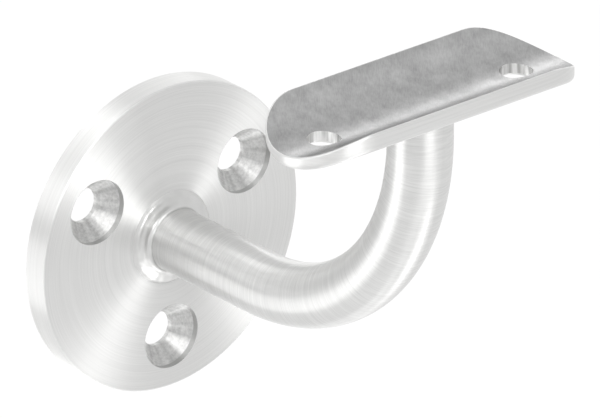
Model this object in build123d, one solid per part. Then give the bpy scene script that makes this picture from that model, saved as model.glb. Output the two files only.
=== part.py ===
from build123d import *
import math
import os

# Welded stainless steel bracket that holds a round handrail off a wall.
# Millimetres. The origin is the centre of the flange's back face, on the wall's surface.
# The wall is the plane y = 0, the bracket stands out of it along -Y, the rail runs along X, and +Z is up.

# Round flange on the wall
flange_diameter = 60.0
flange_thickness = 5.0
flange_edge_round = 0.4

# Three countersunk holes in the flange, one of them straight below the arm
wall_screw_count = 3
wall_screw_circle = 40.0
wall_screw_first_angle = 30.0
wall_hole_diameter = 6.6
wall_sink_diameter = 12.5
wall_sink_angle = 90.0
wall_sink_lip = 1.1

# Round bar that carries the rail: a straight stub out of the flange, one bend and a short upright end
arm_diameter = 12.0
arm_stub_length = 25.0
arm_bend_radius = 45.0
arm_end_length = 3.4

# Bead of weld round the arm's root: a rolled outer edge, a gentle slope up towards the arm, and a hollow beside it
weld_spread = 3.05
weld_foot_angle = 70.0
weld_roll_radius = 1.2
weld_slope_angle = 15.0
weld_hollow_radius = 0.8

# Handrail tube that the saddle is curved to fit
rail_diameter = 33.7
rail_clearance = 0.15

# Saddle plate under the rail
saddle_length = 64.7
saddle_width = 24.5
saddle_thickness = 2.6
saddle_upper_round = 0.3
saddle_lower_round = 1.4

# Two holes for the screws that come up into the rail
rail_screw_spacing = 45.0
rail_hole_diameter = 6.2
rail_hole_edge = 0.2
rail_hole_sink = 0.7

# Edges are told apart by their place, and two places closer than this are the same one
match_tolerance = 0.001

# Worked out from the values above
flange_radius = flange_diameter / 2
arm_radius = arm_diameter / 2
saddle_inner_radius = rail_diameter / 2 + rail_clearance
saddle_outer_radius = saddle_inner_radius + saddle_thickness
rail_distance = flange_thickness + arm_stub_length + arm_bend_radius
rail_height = arm_bend_radius + arm_end_length + saddle_outer_radius
rail_axis = Location((0, -rail_distance, rail_height), (0, 90, 0))

# Local frame of the wall: X to the right, Y up, Z out of the wall
out_of_wall = Location(Plane.XZ)


def revolved(points):
    """Solid of revolution about local Z from corner points given as (radius, height)."""
    outline = make_face(Polyline(*[(radius, 0, height) for radius, height in points], close=True).edges())
    return revolve(outline, Axis.Z)


def screw_cutter():
    """Through hole, cone and straight lip of one countersunk hole, with its mouth in the flange's front face."""
    hole_radius = wall_hole_diameter / 2
    sink_radius = wall_sink_diameter / 2
    lip_floor = flange_thickness - wall_sink_lip
    cone_floor = lip_floor - (sink_radius - hole_radius) / math.tan(math.radians(wall_sink_angle / 2))
    beyond = flange_thickness
    return revolved([
        (0, -beyond),
        (hole_radius, -beyond),
        (hole_radius, cone_floor),
        (sink_radius, lip_floor),
        (sink_radius, flange_thickness + beyond),
        (0, flange_thickness + beyond),
    ])


def make_wall_flange():
    """Turned disc with a rounded front edge and its countersunk holes."""
    disc = Cylinder(flange_radius, flange_thickness, align=(Align.CENTER, Align.CENTER, Align.MIN))
    front_edge = disc.edges().group_by(Axis.Z)[-1]
    disc = fillet(front_edge, flange_edge_round)
    holes = PolarLocations(wall_screw_circle / 2, wall_screw_count, wall_screw_first_angle)
    for place in holes:
        disc -= place * screw_cutter()
    return out_of_wall * disc


def make_root_weld():
    """Bead in the corner between flange and arm, turned from one section whose arcs run smoothly into its slope."""
    foot_sine = math.sin(math.radians(weld_foot_angle))
    foot_cosine = math.cos(math.radians(weld_foot_angle))
    slope_sine = math.sin(math.radians(weld_slope_angle))
    slope_cosine = math.cos(math.radians(weld_slope_angle))
    foot_radius = arm_radius + weld_spread
    roll_end_radius = foot_radius - weld_roll_radius * (foot_sine - slope_sine)
    roll_end_height = flange_thickness + weld_roll_radius * (slope_cosine - foot_cosine)
    hollow_start_radius = arm_radius + weld_hollow_radius * (1 - slope_sine)
    rise = (roll_end_radius - hollow_start_radius) * slope_sine / slope_cosine
    hollow_start_height = roll_end_height + rise
    corner = (arm_radius, flange_thickness)
    toe = (foot_radius, flange_thickness)
    roll_end = (roll_end_radius, roll_end_height)
    hollow_start = (hollow_start_radius, hollow_start_height)
    top = (arm_radius, hollow_start_height + weld_hollow_radius * slope_cosine)
    with BuildSketch(Plane.XZ) as section:
        with BuildLine():
            TangentArc(toe, roll_end, tangent=(-foot_cosine, foot_sine))
            Line(roll_end, hollow_start)
            TangentArc(top, hollow_start, tangent=(0, -1))
            Polyline(top, corner, toe)
        make_face()
    return out_of_wall * revolve(section.sketch, Axis.Z)


def make_bent_arm():
    """Round bar: straight out of the flange, one bend upwards, and an end cut to the saddle's underside."""
    root = (0, -flange_thickness, 0)
    corner = (0, -rail_distance, 0)
    end = (0, -rail_distance, rail_height - saddle_inner_radius)
    route = FilletPolyline(root, corner, end, radius=arm_bend_radius)
    section = Plane(origin=root, z_dir=(0, -1, 0)) * Circle(arm_radius)
    bar = sweep(section, path=route)
    rail_side = rail_axis * Cylinder(saddle_outer_radius, 2 * saddle_length)
    return bar - rail_side


def lies_at_radius(edge, radius):
    """True if the edge lies at this distance from the rail's axis all along."""
    for share in (0.1, 0.5, 0.9):
        point = edge @ share
        if abs(math.hypot(point.Y + rail_distance, point.Z - rail_height) - radius) > match_tolerance:
            return False
    return True


def middle_x(edge):
    """Middle of the edge's box along X."""
    return edge.bounding_box().center().X


def make_saddle_plate():
    """Plate curved to the rail, with full round ends, upright sides, rounded edges and two holes."""
    shell_length = 2 * saddle_length
    shell = Cylinder(saddle_outer_radius, shell_length) - Cylinder(saddle_inner_radius, shell_length)
    blank = extrude(SlotOverall(saddle_length, saddle_width), -2 * saddle_outer_radius)
    plate = (rail_axis * shell) & (Pos(0, -rail_distance, rail_height) * blank)
    lower_edges = plate.edges().filter_by(lambda edge: lies_at_radius(edge, saddle_outer_radius))
    plate = fillet(lower_edges, saddle_lower_round)
    upper_edges = plate.edges().filter_by(lambda edge: lies_at_radius(edge, saddle_inner_radius))
    plate = fillet(upper_edges, saddle_upper_round)
    hole_x = rail_screw_spacing / 2
    for side in (-1, 1):
        drill = Cylinder(rail_hole_diameter / 2, rail_height)
        plate -= Pos(side * hole_x, -rail_distance, rail_height / 2) * drill
    rims = [edge for edge in plate.edges() if abs(abs(middle_x(edge)) - hole_x) < match_tolerance]
    upper_rims = [edge for edge in rims if lies_at_radius(edge, saddle_inner_radius)]
    lower_rims = [edge for edge in rims if lies_at_radius(edge, saddle_outer_radius)]
    plate = chamfer(upper_rims, rail_hole_edge)
    return chamfer(lower_rims, rail_hole_sink)


pieces = {
    "wall_flange": make_wall_flange(),
    "root_weld": make_root_weld(),
    "bent_arm": make_bent_arm(),
    "saddle_plate": make_saddle_plate(),
}

os.makedirs("parts", exist_ok=True)
for name, piece in pieces.items():
    export_step(piece, f"parts/{name}.step")
    print(name, round(piece.volume, 2), piece.is_valid)
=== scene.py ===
import math

import bmesh
import bpy
from mathutils import Matrix, Vector


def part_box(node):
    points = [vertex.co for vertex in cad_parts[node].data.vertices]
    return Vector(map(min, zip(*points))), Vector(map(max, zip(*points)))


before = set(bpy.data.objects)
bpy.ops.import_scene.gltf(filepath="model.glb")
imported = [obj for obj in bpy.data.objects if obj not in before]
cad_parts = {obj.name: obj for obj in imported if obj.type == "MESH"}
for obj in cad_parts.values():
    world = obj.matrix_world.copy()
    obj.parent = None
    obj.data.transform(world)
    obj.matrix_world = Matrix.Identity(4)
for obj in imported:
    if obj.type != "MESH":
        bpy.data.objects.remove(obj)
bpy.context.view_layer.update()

# The frame is in metres. The finishes are worked out in millimetres, so these sizes are too.
MM = 0.001
TO_MM = 1000.0

# Flange: the wall is the plane y = 0, and the flange's centre is the origin. Three sinks lie on one circle.
flange_low, flange_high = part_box("wall_flange")
FLANGE_RADIUS = flange_high.x * TO_MM
FLANGE_FACE_Y = flange_low.y * TO_MM
EDGE_ROUND = 0.4
SINK_CIRCLE_RADIUS = 20.0
SINK_RADIUS = 6.25
SINK_SPACING = math.radians(120)
SINK_FIRST_ANGLE = math.radians(30)

# Weld: its polished waves, the toe that rolls over close to the flange, and the ridges that run round the arm
WELD_WAVE_HEIGHT = 0.25
WELD_ROLL = 0.6
WELD_ROLL_CURVE = 0.45
WELD_RUN_SPACING = 1.5
WELD_RUN_PHASE = 2.82
WELD_RUN_HEIGHT = 0.02

# Bent bar: it runs out along -Y, turns up round the bend's centre and ends under the rail
arm_low, arm_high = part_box("bent_arm")
ARM_RADIUS = arm_high.x * TO_MM
RAIL_Y = arm_low.y * TO_MM + ARM_RADIUS
BEND_RADIUS = 45.0
BEND_Y = RAIL_Y + BEND_RADIUS
BEND_Z = BEND_RADIUS
FIRST_BELT_TILT = 0.10
SECOND_BELT_TILT = -0.14

# Saddle: its hollow is part of a cylinder about the rail's axis
RAIL_Z = 68.0
HOLLOW_RADIUS = 17.0
RAIL_HOLE_X = 22.5
RAIL_HOLE_RADIUS = 3.1
BRUSH_SLANT = math.radians(36)

# Where one finish ends and the next begins. A surface that lies right at its size is kept on its own side.
SINK_MARGIN = 0.02
BACK_MARGIN = 0.02
LIP_MARGIN = 0.05
EDGE_INSET = 0.14
HOLLOW_MARGIN = 0.03
RAIL_HOLE_MARGIN = 0.05

# Between these distances from the flange's axis the tool's broad rings fade
BITE_START_RADIUS = 9.0
BITE_END_RADIUS = 20.0
BITE_AT_START = 0.5
BITE_AT_END = 0.15

# Grains of each drawn pattern in a millimetre, along its own X, Y and Z
FINE_RINGS = (4.2, 0.04, 0.04)
BROAD_RINGS = (1.1, 0.03, 0.03)
FIRST_SCRATCHES = (4.4, 0.06, 0.06)
SECOND_SCRATCHES = (2.6, 0.09, 0.09)
BRUSH_MARKS = (5.5, 0.8, 0.8)
SIDE_LINES = (0.06, 0.06, 2.4)
HOLE_STREAKS = (0.9, 0.9, 0.08)

# Share of the second pattern where two lie on one surface
MOTTLE_SHARE = 0.5
SECOND_SCRATCH_SHARE = 0.4
BRUSH_SHARE = 0.36

# How rough each finish is, and how strongly its marks stretch a reflection
FACE_ROUGHNESS = 0.5
SINK_ROUGHNESS = 0.46
EDGE_ROUGHNESS = 0.42
FLANGE_STRETCH = 1.0
ARM_ROUGHNESS = 0.39
ARM_STRETCH = 0.85
WELD_ROUGHNESS = 0.33
SIDE_ROUGHNESS = 0.4
HOLLOW_ROUGHNESS = 0.28
SADDLE_STRETCH = 0.9

# How deep the marks are cut, in metres, and how much of that depth each finish shows
MARK_DEPTH = 0.0001
TURNED_MARKS = 0.03
BELT_MARKS = 0.03
SADDLE_MARKS = 0.06

# A mix node has its own pair of inputs and its own output for each kind of value
FLOAT_A, FLOAT_B = 2, 3
VECTOR_A, VECTOR_B, VECTOR_OUT = 4, 5, 1
COLOUR_A, COLOUR_B, COLOUR_OUT = 6, 7, 2


def linear(hex_code):
    """Turns an sRGB colour such as "#C8C8C4" to linear red, green, blue and alpha."""
    channels = [int(hex_code[i:i + 2], 16) / 255 for i in (1, 3, 5)]
    return [c / 12.92 if c <= 0.04045 else ((c + 0.055) / 1.055) ** 2.4 for c in channels] + [1.0]


def add(tree, kind, inputs=None, **settings):
    """Adds one node with its settings.

    An input is a value, an output socket, or a node, whose first output it takes.
    """
    node = tree.nodes.new(kind)
    for name, value in settings.items():
        setattr(node, name, value)
    for socket, value in (inputs or {}).items():
        if isinstance(value, bpy.types.Node):
            value = value.outputs[0]
        if isinstance(value, bpy.types.NodeSocket):
            tree.links.new(value, node.inputs[socket])
        else:
            node.inputs[socket].default_value = value
    return node


def new_material(name):
    """Empty material, and its node tree."""
    material = bpy.data.materials.new(name)
    material.use_nodes = True
    material.node_tree.nodes.clear()
    return material, material.node_tree


def place_in_mm(tree):
    """X, Y and Z of the surface point in millimetres, as three sockets."""
    place = add(tree, "ShaderNodeTexCoord").outputs["Object"]
    scaled = add(tree, "ShaderNodeVectorMath", {0: place, "Scale": TO_MM}, operation="SCALE")
    return add(tree, "ShaderNodeSeparateXYZ", {0: scaled}).outputs


# Camera: it looks down on the bracket from the left of the arm. Its lens is long, so parallel lines stay so.
CAMERA_AZIMUTH = math.radians(-40)
CAMERA_ELEVATION = math.radians(25)
CAMERA_LENS = 1150.0
CLIP_START = 0.1
CLIP_END = 20
SENSOR_WIDTH = 36.0
FRAME_WIDTH_PX = 600
PX_PER_MM = 5.533
AIM_RIGHT = 26.71 * MM
AIM_UP = 3.39 * MM
AIM_DEPTH = 28.9 * MM


def place_camera():
    back = Vector((
        math.sin(CAMERA_AZIMUTH) * math.cos(CAMERA_ELEVATION),
        -math.cos(CAMERA_AZIMUTH) * math.cos(CAMERA_ELEVATION),
        math.sin(CAMERA_ELEVATION),
    ))
    right = Vector((math.cos(CAMERA_AZIMUTH), math.sin(CAMERA_AZIMUTH), 0))
    up = back.cross(right)
    distance = FRAME_WIDTH_PX * CAMERA_LENS / (SENSOR_WIDTH * PX_PER_MM) * MM
    camera = bpy.data.cameras.new("camera")
    camera.lens = CAMERA_LENS
    camera.sensor_width = SENSOR_WIDTH
    camera.clip_start = CLIP_START
    camera.clip_end = CLIP_END
    holder = bpy.data.objects.new("camera", camera)
    holder.matrix_world = Matrix((right, up, back)).transposed().to_4x4()
    holder.location = right * AIM_RIGHT + up * AIM_UP + back * (distance + AIM_DEPTH)
    bpy.context.scene.collection.objects.link(holder)
    bpy.context.scene.camera = holder


# Studio: the floor lies low, so that two of the lamps fit beneath the bracket
FLOOR_Z = -300 * MM
FLOOR_HALF = 1.0
FLOOR_LIFT = 0.69
LAMP_TARGET = Vector((0, -40, 20)) * MM
LAMP_DISTANCE = 0.8
WORLD_STRENGTH = 1.0


def build_floor():
    """Matt grey floor. Seen straight on or mirrored, it also glows, which makes it white."""
    material, tree = new_material("pale_studio_floor")
    path = add(tree, "ShaderNodeLightPath").outputs
    seen = add(tree, "ShaderNodeMath", {
        0: path["Is Camera Ray"],
        1: path["Is Glossy Ray"],
    }, operation="MAXIMUM")
    seen = add(tree, "ShaderNodeMath", {0: seen, 1: path["Is Transmission Ray"]}, operation="MAXIMUM")
    lift = add(tree, "ShaderNodeMath", {0: seen, 1: FLOOR_LIFT}, operation="MULTIPLY")
    paint = add(tree, "ShaderNodeBsdfDiffuse", {"Color": linear("#949494")})
    glow = add(tree, "ShaderNodeEmission", {"Color": linear("#FFFFFF"), "Strength": lift})
    both = add(tree, "ShaderNodeAddShader", {0: paint, 1: glow})
    add(tree, "ShaderNodeOutputMaterial", {"Surface": both})
    shape = bmesh.new()
    place = Matrix.Translation((0, 0, FLOOR_Z))
    bmesh.ops.create_grid(shape, x_segments=1, y_segments=1, size=FLOOR_HALF, matrix=place)
    mesh = bpy.data.meshes.new("floor")
    shape.to_mesh(mesh)
    shape.free()
    mesh.materials.append(material)
    floor = bpy.data.objects.new("floor", mesh)
    bpy.context.scene.collection.objects.link(floor)


def add_softbox(name, azimuth, elevation, width, height, radiance, distance=LAMP_DISTANCE):
    """Rectangular lamp that faces the bracket. Angles are in degrees, sizes in metres.

    Azimuth 0 is straight in front of the wall, 90 is to its right.
    """
    turn = math.radians(azimuth)
    climb = math.radians(elevation)
    towards = Vector((
        math.sin(turn) * math.cos(climb),
        -math.cos(turn) * math.cos(climb),
        math.sin(climb),
    ))
    lamp = bpy.data.lights.new(name, "AREA")
    lamp.shape = "RECTANGLE"
    lamp.size = width
    lamp.size_y = height
    lamp.energy = radiance * math.pi * width * height
    holder = bpy.data.objects.new(name, lamp)
    holder.location = LAMP_TARGET + towards * distance
    holder.rotation_euler = towards.to_track_quat("Z", "Y").to_euler()
    bpy.context.scene.collection.objects.link(holder)


def build_world():
    world = bpy.data.worlds.new("studio")
    world.use_nodes = True
    tree = world.node_tree
    tree.nodes.clear()
    glow = add(tree, "ShaderNodeBackground", {"Color": linear("#FFFFFF"), "Strength": WORLD_STRENGTH})
    add(tree, "ShaderNodeOutputWorld", {"Surface": glow})
    bpy.context.scene.world = world


def finish_steel(tree, colour, roughness, stretch, tangent, bump):
    """Steel shader of one finish, and the material's output."""
    inputs = {
        "Base Color": colour,
        "Metallic": 1.0,
        "Roughness": roughness,
        "Anisotropic": stretch,
    }
    if tangent is not None:
        inputs["Tangent"] = tangent
    inputs["Normal"] = bump
    shader = add(tree, "ShaderNodeBsdfPrincipled", inputs)
    add(tree, "ShaderNodeOutputMaterial", {"Surface": shader})


def turned_flange_steel():
    """Stainless steel, faced and brushed on a lathe. The rings spread each reflection into a bow tie."""
    material, tree = new_material("turned_stainless_steel")
    x, y, z = place_in_mm(tree)
    radius = add(tree, "ShaderNodeMath", {0: x, 1: x}, operation="MULTIPLY")
    radius = add(tree, "ShaderNodeMath", {0: z, 1: z, 2: radius}, operation="MULTIPLY_ADD")
    radius = add(tree, "ShaderNodeMath", {0: radius}, operation="SQRT")

    # Folding the angle lays the three sinks on top of each other
    angle = add(tree, "ShaderNodeMath", {0: z, 1: x}, operation="ARCTAN2")
    angle = add(tree, "ShaderNodeMath", {0: angle, 1: SINK_FIRST_ANGLE}, operation="SUBTRACT")
    fold = {0: angle, 1: SINK_SPACING / 2, 2: -SINK_SPACING / 2}
    folded = add(tree, "ShaderNodeMath", fold, operation="WRAP")
    sink_out = add(tree, "ShaderNodeMath", {0: folded}, operation="COSINE")
    sink_out = add(tree, "ShaderNodeMath", {0: sink_out, 1: radius}, operation="MULTIPLY")
    sink_out = add(tree, "ShaderNodeMath", {0: sink_out, 1: SINK_CIRCLE_RADIUS}, operation="SUBTRACT")
    sink_side = add(tree, "ShaderNodeMath", {0: folded}, operation="SINE")
    sink_side = add(tree, "ShaderNodeMath", {0: sink_side, 1: radius}, operation="MULTIPLY")
    sink_place = add(tree, "ShaderNodeCombineXYZ", {"X": sink_out, "Y": sink_side})
    sink_distance = add(tree, "ShaderNodeVectorMath", {0: sink_place}, operation="LENGTH").outputs["Value"]
    near_hole = add(tree, "ShaderNodeMath", {
        0: sink_distance,
        1: SINK_RADIUS + SINK_MARGIN,
    }, operation="LESS_THAN")
    # The flange's back is flat round its holes, so the rings carry on there
    off_back = add(tree, "ShaderNodeMath", {0: y, 1: -BACK_MARGIN}, operation="LESS_THAN")
    in_sink = add(tree, "ShaderNodeMath", {0: near_hole, 1: off_back}, operation="MULTIPLY")

    # Across the marks of the tool: away from the flange's axis, and along Y on its rim
    outwards = add(tree, "ShaderNodeCombineXYZ", {"X": x, "Y": radius, "Z": z})
    # In a sink: away from the sink's own axis. The difference of the two angles turns the folded place back.
    turn = add(tree, "ShaderNodeMath", {0: angle, 1: folded}, operation="SUBTRACT")
    turn = add(tree, "ShaderNodeMath", {0: turn, 1: SINK_FIRST_ANGLE}, operation="ADD")
    turned_place = add(tree, "ShaderNodeVectorRotate", {
        "Vector": sink_place,
        "Angle": turn,
    }, rotation_type="Z_AXIS")
    turned = add(tree, "ShaderNodeSeparateXYZ", {0: turned_place}).outputs
    inwards = add(tree, "ShaderNodeMath", {0: sink_distance, 1: -1.0}, operation="MULTIPLY")
    down_cone = add(tree, "ShaderNodeCombineXYZ", {"X": turned[0], "Y": inwards, "Z": turned[1]})
    across = add(tree, "ShaderNodeMix", {
        "Factor": in_sink,
        VECTOR_A: outwards,
        VECTOR_B: down_cone,
    }, data_type="VECTOR")
    across = add(tree, "ShaderNodeVectorMath", {0: across.outputs[VECTOR_OUT]}, operation="NORMALIZE")

    # The tool's rings are 0.1 mm apart, too fine to show, so they are drawn coarser: about 0.25 mm apart and
    # some centimetres long. In the sinks they go round the sink.
    ring = add(tree, "ShaderNodeMath", {0: radius, 1: y}, operation="ADD")
    sink_ring = add(tree, "ShaderNodeMath", {0: sink_distance, 1: y}, operation="SUBTRACT")
    ring = add(tree, "ShaderNodeMix", {
        "Factor": in_sink,
        FLOAT_A: ring,
        FLOAT_B: sink_ring,
    }, data_type="FLOAT").outputs[0]
    marks_at = add(tree, "ShaderNodeCombineXYZ", {"X": ring, "Y": x, "Z": z})
    fine_at = add(tree, "ShaderNodeVectorMath", {0: marks_at, 1: FINE_RINGS}, operation="MULTIPLY")
    fine = add(tree, "ShaderNodeTexNoise", {
        "Vector": fine_at,
        "Scale": 1.0,
        "Detail": 2.0,
        "Roughness": 0.6,
    })
    # The tool bites harder near the middle, where the surface passes it more slowly
    broad_at = add(tree, "ShaderNodeVectorMath", {0: marks_at, 1: BROAD_RINGS}, operation="MULTIPLY")
    broad = add(tree, "ShaderNodeTexNoise", {
        "Vector": broad_at,
        "Scale": 1.0,
        "Detail": 1.0,
        "Roughness": 0.5,
    })
    bite = add(tree, "ShaderNodeMapRange", {
        "Value": radius,
        "From Min": BITE_START_RADIUS,
        "From Max": BITE_END_RADIUS,
        "To Min": BITE_AT_START,
        "To Max": BITE_AT_END,
    })
    marks = add(tree, "ShaderNodeMix", {"Factor": bite, FLOAT_A: fine, FLOAT_B: broad}, data_type="FLOAT")
    # The colours are paler than the steel looks, because rings this coarse give back only seven tenths
    shade = add(tree, "ShaderNodeMapRange", {"Value": marks, "From Min": 0.3, "From Max": 0.7})
    colour = add(tree, "ShaderNodeMix", {
        "Factor": shade,
        COLOUR_A: linear("#E9E9E8"),
        COLOUR_B: linear("#F3F3F2"),
    }, data_type="RGBA")

    # The sinks were cut with a chattering countersink: dull and mottled. The pale and dark wedges all round
    # are painted reflection, the bow ties of the lamps laid into the colour.
    outward = add(tree, "ShaderNodeVectorMath", {0: turned_place}, operation="NORMALIZE")
    painted_reflection_wedges = add(tree, "ShaderNodeTexNoise", {
        "Vector": outward,
        "Scale": 3.2,
        "Detail": 2.0,
        "Roughness": 0.6,
    })
    mottle = add(tree, "ShaderNodeTexNoise", {
        "Vector": marks_at,
        "Scale": 1.3,
        "Detail": 3.0,
        "Roughness": 0.65,
    })
    chatter_and_painted_reflections = add(tree, "ShaderNodeMix", {
        "Factor": MOTTLE_SHARE,
        FLOAT_A: painted_reflection_wedges,
        FLOAT_B: mottle,
    }, data_type="FLOAT")
    chatter_and_painted_reflections = add(tree, "ShaderNodeMapRange", {"Value": chatter_and_painted_reflections, "From Min": 0.38, "From Max": 0.62})
    cone = add(tree, "ShaderNodeMix", {
        "Factor": chatter_and_painted_reflections,
        COLOUR_A: linear("#CBCBCA"),
        COLOUR_B: linear("#F0F0EF"),
    }, data_type="RGBA")
    # Their straight lips are painted a little darker: painted shade down inside the holes
    on_lip = add(tree, "ShaderNodeMath", {
        0: sink_distance,
        1: SINK_RADIUS - LIP_MARGIN,
    }, operation="GREATER_THAN")
    cone = add(tree, "ShaderNodeMix", {
        "Factor": on_lip,
        COLOUR_A: cone.outputs[COLOUR_OUT],
        COLOUR_B: linear("#C6C6C5"),
    }, data_type="RGBA")
    colour = add(tree, "ShaderNodeMix", {
        "Factor": in_sink,
        COLOUR_A: colour.outputs[COLOUR_OUT],
        COLOUR_B: cone.outputs[COLOUR_OUT],
    }, data_type="RGBA")

    # The front edge was broken with a file and rubbed smooth, so it shows as a bright line
    past_rim = add(tree, "ShaderNodeMath", {
        0: radius,
        1: FLANGE_RADIUS - EDGE_ROUND + EDGE_INSET,
    }, operation="GREATER_THAN")
    past_face = add(tree, "ShaderNodeMath", {
        0: y,
        1: FLANGE_FACE_Y + EDGE_ROUND - EDGE_INSET,
    }, operation="LESS_THAN")
    on_edge = add(tree, "ShaderNodeMath", {0: past_rim, 1: past_face}, operation="MULTIPLY")
    roughness = add(tree, "ShaderNodeMix", {
        "Factor": in_sink,
        FLOAT_A: FACE_ROUGHNESS,
        FLOAT_B: SINK_ROUGHNESS,
    }, data_type="FLOAT")
    roughness = add(tree, "ShaderNodeMix", {
        "Factor": on_edge,
        FLOAT_A: roughness,
        FLOAT_B: EDGE_ROUGHNESS,
    }, data_type="FLOAT")
    bump = add(tree, "ShaderNodeBump", {"Height": marks, "Strength": TURNED_MARKS, "Distance": MARK_DEPTH})
    finish_steel(tree, colour.outputs[COLOUR_OUT], roughness, FLANGE_STRETCH, across, bump)
    return material


def ground_arm_steel():
    """Stainless steel bar, ground round with a belt. The scratches stretch each reflection along the bar."""
    material, tree = new_material("ground_stainless_steel")
    x, y, z = place_in_mm(tree)

    # From the bend's centre. Clamped at 0, it stands across both straight ends too.
    from_bend_y = add(tree, "ShaderNodeMath", {0: y, 1: BEND_Y}, operation="SUBTRACT")
    from_bend_z = add(tree, "ShaderNodeMath", {0: z, 1: BEND_Z}, operation="SUBTRACT")
    bent_y = add(tree, "ShaderNodeMath", {0: from_bend_y, 1: 0.0}, operation="MINIMUM")
    bent_z = add(tree, "ShaderNodeMath", {0: from_bend_z, 1: 0.0}, operation="MINIMUM")
    back_y = add(tree, "ShaderNodeMath", {0: bent_y, 1: -1.0}, operation="MULTIPLY")
    along = add(tree, "ShaderNodeCombineXYZ", {"Y": bent_z, "Z": back_y})
    reach = add(tree, "ShaderNodeVectorMath", {0: along}, operation="LENGTH").outputs["Value"]
    along = add(tree, "ShaderNodeVectorMath", {0: along}, operation="NORMALIZE")

    # Length run along the bar: both straight ends and the bend's arc
    down = add(tree, "ShaderNodeMath", {0: bent_z, 1: -1.0}, operation="MULTIPLY")
    bend_angle = add(tree, "ShaderNodeMath", {0: back_y, 1: down}, operation="ARCTAN2")
    run = add(tree, "ShaderNodeMath", {0: bend_angle, 1: BEND_RADIUS}, operation="MULTIPLY")
    stub_run = add(tree, "ShaderNodeMath", {0: from_bend_y, 1: 0.0}, operation="MAXIMUM")
    end_run = add(tree, "ShaderNodeMath", {0: from_bend_z, 1: 0.0}, operation="MAXIMUM")
    run = add(tree, "ShaderNodeMath", {0: run, 1: stub_run}, operation="SUBTRACT")
    run = add(tree, "ShaderNodeMath", {0: run, 1: end_run}, operation="ADD")
    outer = add(tree, "ShaderNodeMath", {0: reach, 1: BEND_RADIUS}, operation="SUBTRACT")

    # Two passes of the belt, tilted a little against each other. Its grit leaves scratches 0.1 mm wide, too
    # fine to show, so they are drawn coarser: about 0.25 mm wide in the first pass and 0.4 mm in the second.
    first_run = add(tree, "ShaderNodeMath", {0: x, 1: FIRST_BELT_TILT, 2: run}, operation="MULTIPLY_ADD")
    second_run = add(tree, "ShaderNodeMath", {0: x, 1: SECOND_BELT_TILT, 2: run}, operation="MULTIPLY_ADD")
    first_at = add(tree, "ShaderNodeCombineXYZ", {"X": first_run, "Y": x, "Z": outer})
    first_at = add(tree, "ShaderNodeVectorMath", {0: first_at, 1: FIRST_SCRATCHES}, operation="MULTIPLY")
    first = add(tree, "ShaderNodeTexNoise", {
        "Vector": first_at,
        "Scale": 1.0,
        "Detail": 2.0,
        "Roughness": 0.65,
    })
    second_at = add(tree, "ShaderNodeCombineXYZ", {"X": second_run, "Y": x, "Z": outer})
    second_at = add(tree, "ShaderNodeVectorMath", {0: second_at, 1: SECOND_SCRATCHES}, operation="MULTIPLY")
    second = add(tree, "ShaderNodeTexNoise", {
        "Vector": second_at,
        "Scale": 1.0,
        "Detail": 2.0,
        "Roughness": 0.6,
    })
    marks = add(tree, "ShaderNodeMix", {
        "Factor": SECOND_SCRATCH_SHARE,
        FLOAT_A: first,
        FLOAT_B: second,
    }, data_type="FLOAT")
    # The colours are a little paler than the steel looks, because the scratches give back under nine tenths
    shade = add(tree, "ShaderNodeMapRange", {"Value": marks, "From Min": 0.34, "From Max": 0.66})
    colour = add(tree, "ShaderNodeMix", {
        "Factor": shade,
        COLOUR_A: linear("#D0D0CF"),
        COLOUR_B: linear("#E0E0DF"),
    }, data_type="RGBA")
    bump = add(tree, "ShaderNodeBump", {"Height": marks, "Strength": BELT_MARKS, "Distance": MARK_DEPTH})
    finish_steel(tree, colour.outputs[COLOUR_OUT], ARM_ROUGHNESS, ARM_STRETCH, along, bump)
    return material


def polished_weld_steel():
    """Weld metal, ground off and polished with a felt bob. It shows soft but clear reflections."""
    material, tree = new_material("polished_weld_steel")
    x, y, z = place_in_mm(tree)
    place = add(tree, "ShaderNodeCombineXYZ", {"X": x, "Y": y, "Z": z})
    # The bob leaves shallow waves about 3 mm long, with finer ones on them
    waves = add(tree, "ShaderNodeTexNoise", {
        "Vector": place,
        "Scale": 0.33,
        "Detail": 1.0,
        "Roughness": 0.4,
    })
    # It also rolled the toe over, so that the last 0.6 mm leans out softly to the flange
    toe = add(tree, "ShaderNodeMath", {0: y, 1: WELD_ROLL - FLANGE_FACE_Y}, operation="ADD")
    toe = add(tree, "ShaderNodeMath", {0: toe, 1: 0.0}, operation="MAXIMUM")
    toe = add(tree, "ShaderNodeMath", {0: toe, 1: 2.0}, operation="POWER")
    toe = add(tree, "ShaderNodeMath", {0: toe, 1: WELD_ROLL_CURVE}, operation="MULTIPLY")
    # The runs of metal still show as ridges and grooves round the arm, 1.5 mm from ridge to ridge. They rise
    # and fall by 0.02 mm.
    radius = add(tree, "ShaderNodeCombineXYZ", {"X": x, "Y": z})
    radius = add(tree, "ShaderNodeVectorMath", {0: radius}, operation="LENGTH").outputs["Value"]
    run = add(tree, "ShaderNodeMath", {
        0: radius,
        1: math.tau / WELD_RUN_SPACING,
        2: WELD_RUN_PHASE,
    }, operation="MULTIPLY_ADD")
    run = add(tree, "ShaderNodeMath", {0: run}, operation="SINE")
    height = add(tree, "ShaderNodeMath", {0: waves, 1: WELD_WAVE_HEIGHT, 2: toe}, operation="MULTIPLY_ADD")
    height = add(tree, "ShaderNodeMath", {0: run, 1: WELD_RUN_HEIGHT, 2: height}, operation="MULTIPLY_ADD")
    # The colour follows the waves: partly the polish's uneven tone, partly painted highlight, pale blobs
    # where the crests would catch the lamps
    colour = add(tree, "ShaderNodeMix", {
        "Factor": waves,
        COLOUR_A: linear("#BFBFBE"),
        COLOUR_B: linear("#D4D4D3"),
    }, data_type="RGBA")
    bump = add(tree, "ShaderNodeBump", {"Height": height, "Strength": 1.0, "Distance": MM})
    finish_steel(tree, colour.outputs[COLOUR_OUT], WELD_ROUGHNESS, 0.0, None, bump)
    return material


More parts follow.
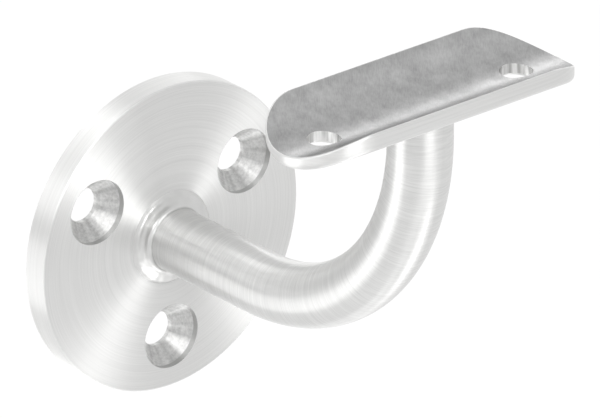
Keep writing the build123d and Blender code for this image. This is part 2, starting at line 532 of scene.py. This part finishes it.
def rolled_saddle_steel():
    """Stainless steel strip. The hollow keeps its rolled skin, the sides are ground, the holes punched."""
    material, tree = new_material("rolled_stainless_steel")
    x, y, z = place_in_mm(tree)
    from_axis_y = add(tree, "ShaderNodeMath", {0: y, 1: RAIL_Y}, operation="SUBTRACT")
    from_axis_z = add(tree, "ShaderNodeMath", {0: z, 1: RAIL_Z}, operation="SUBTRACT")
    from_axis = add(tree, "ShaderNodeCombineXYZ", {"Y": from_axis_y, "Z": from_axis_z})
    axis_distance = add(tree, "ShaderNodeVectorMath", {0: from_axis}, operation="LENGTH").outputs["Value"]
    on_top = add(tree, "ShaderNodeMath", {
        0: axis_distance,
        1: HOLLOW_RADIUS + HOLLOW_MARGIN,
    }, operation="LESS_THAN")

    # The hollow: clouds some millimetres wide, and the fine slanting marks of the brush that cleaned it.
    # The brush hairs' marks are 0.05 mm wide, too fine to show, so they are drawn coarser: about 0.2 mm wide.
    place = add(tree, "ShaderNodeCombineXYZ", {"X": x, "Y": from_axis_y, "Z": from_axis_z})
    clouds = add(tree, "ShaderNodeTexNoise", {
        "Vector": place,
        "Scale": 0.26,
        "Detail": 6.0,
        "Roughness": 0.68,
    })
    slanted = add(tree, "ShaderNodeVectorRotate", {
        "Vector": place,
        "Angle": BRUSH_SLANT,
    }, rotation_type="Z_AXIS")
    brush_at = add(tree, "ShaderNodeVectorMath", {0: slanted, 1: BRUSH_MARKS}, operation="MULTIPLY")
    brush = add(tree, "ShaderNodeTexNoise", {
        "Vector": brush_at,
        "Scale": 1.0,
        "Detail": 3.0,
        "Roughness": 0.6,
    })
    skin = add(tree, "ShaderNodeMix", {
        "Factor": BRUSH_SHARE,
        FLOAT_A: clouds,
        FLOAT_B: brush,
    }, data_type="FLOAT")
    skin_shade = add(tree, "ShaderNodeMapRange", {"Value": skin, "From Min": 0.34, "From Max": 0.66})
    skin_colour = add(tree, "ShaderNodeMix", {
        "Factor": skin_shade,
        COLOUR_A: linear("#939393"),
        COLOUR_B: linear("#B4B4B4"),
    }, data_type="RGBA")

    # The sides: lines of the grinding belt along the edge
    lines_at = add(tree, "ShaderNodeVectorMath", {0: place, 1: SIDE_LINES}, operation="MULTIPLY")
    lines = add(tree, "ShaderNodeTexNoise", {
        "Vector": lines_at,
        "Scale": 1.0,
        "Detail": 2.0,
        "Roughness": 0.6,
    })
    side_shade = add(tree, "ShaderNodeMapRange", {"Value": lines, "From Min": 0.3, "From Max": 0.7})
    side_colour = add(tree, "ShaderNodeMix", {
        "Factor": side_shade,
        COLOUR_A: linear("#D8D8D7"),
        COLOUR_B: linear("#E0E0DF"),
    }, data_type="RGBA")

    # The holes: upright streaks where the punch sheared the plate, and painted reflection: pale and dark
    # bands that stand for the lamps stretched up the walls
    streaks_at = add(tree, "ShaderNodeVectorMath", {0: place, 1: HOLE_STREAKS}, operation="MULTIPLY")
    shear_and_reflection_streaks = add(tree, "ShaderNodeTexNoise", {
        "Vector": streaks_at,
        "Scale": 1.0,
        "Detail": 2.0,
        "Roughness": 0.6,
    })
    hole_shade = add(tree, "ShaderNodeMapRange", {"Value": shear_and_reflection_streaks, "From Min": 0.36, "From Max": 0.64})
    hole_colour = add(tree, "ShaderNodeMix", {
        "Factor": hole_shade,
        COLOUR_A: linear("#ACACAB"),
        COLOUR_B: linear("#F0F0EF"),
    }, data_type="RGBA")
    from_hole_x = add(tree, "ShaderNodeMath", {0: x}, operation="ABSOLUTE")
    from_hole_x = add(tree, "ShaderNodeMath", {0: from_hole_x, 1: RAIL_HOLE_X}, operation="SUBTRACT")
    from_hole = add(tree, "ShaderNodeCombineXYZ", {"X": from_hole_x, "Y": from_axis_y})
    hole_distance = add(tree, "ShaderNodeVectorMath", {0: from_hole}, operation="LENGTH").outputs["Value"]
    in_hole = add(tree, "ShaderNodeMath", {
        0: hole_distance,
        1: RAIL_HOLE_RADIUS + RAIL_HOLE_MARGIN,
    }, operation="LESS_THAN")
    edge_colour = add(tree, "ShaderNodeMix", {
        "Factor": in_hole,
        COLOUR_A: side_colour.outputs[COLOUR_OUT],
        COLOUR_B: hole_colour.outputs[COLOUR_OUT],
    }, data_type="RGBA")
    colour = add(tree, "ShaderNodeMix", {
        "Factor": on_top,
        COLOUR_A: edge_colour.outputs[COLOUR_OUT],
        COLOUR_B: skin_colour.outputs[COLOUR_OUT],
    }, data_type="RGBA")

    # The brush went across the hollow and the belt along the sides. Reflections spread across those marks.
    across = add(tree, "ShaderNodeMix", {
        "Factor": on_top,
        VECTOR_A: (0, 0, 1),
        VECTOR_B: (1, 0, 0),
    }, data_type="VECTOR")
    roughness = add(tree, "ShaderNodeMix", {
        "Factor": on_top,
        FLOAT_A: SIDE_ROUGHNESS,
        FLOAT_B: HOLLOW_ROUGHNESS,
    }, data_type="FLOAT")
    height = add(tree, "ShaderNodeMix", {"Factor": on_top, FLOAT_A: lines, FLOAT_B: skin}, data_type="FLOAT")
    bump = add(tree, "ShaderNodeBump", {"Height": height, "Strength": SADDLE_MARKS, "Distance": MARK_DEPTH})
    tangent = across.outputs[VECTOR_OUT]
    finish_steel(tree, colour.outputs[COLOUR_OUT], roughness, SADDLE_STRETCH, tangent, bump)
    return material


place_camera()
build_floor()
build_world()

# The world's light is even all round. The softboxes add the long pale bands that the brushed steel shows.
# Each line gives azimuth, elevation, width, height and radiance.
add_softbox("front_softbox", -9, 14, 0.40, 0.24, 5.0)
add_softbox("low_front_softbox", 29, -56, 0.08, 0.14, 2.3, distance=0.3)
add_softbox("low_softbox", 10, -84, 0.06, 0.06, 1.2, distance=0.28)
add_softbox("left_softbox", -80, 24, 0.50, 0.34, 1.4)
add_softbox("left_low_softbox", -110, -24, 0.24, 0.28, 1.25, distance=0.4)
add_softbox("overhead_softbox", -48, 70, 0.45, 0.60, 1.5)
add_softbox("back_softbox", 141, 21, 0.40, 0.10, 3.2)
add_softbox("back_high_softbox", -174, 46, 0.24, 0.20, 1.5)

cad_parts["wall_flange"].data.materials[0] = turned_flange_steel()
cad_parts["root_weld"].data.materials[0] = polished_weld_steel()
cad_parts["bent_arm"].data.materials[0] = ground_arm_steel()
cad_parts["saddle_plate"].data.materials[0] = rolled_saddle_steel()

bpy.context.scene.view_settings.view_transform = "Standard"
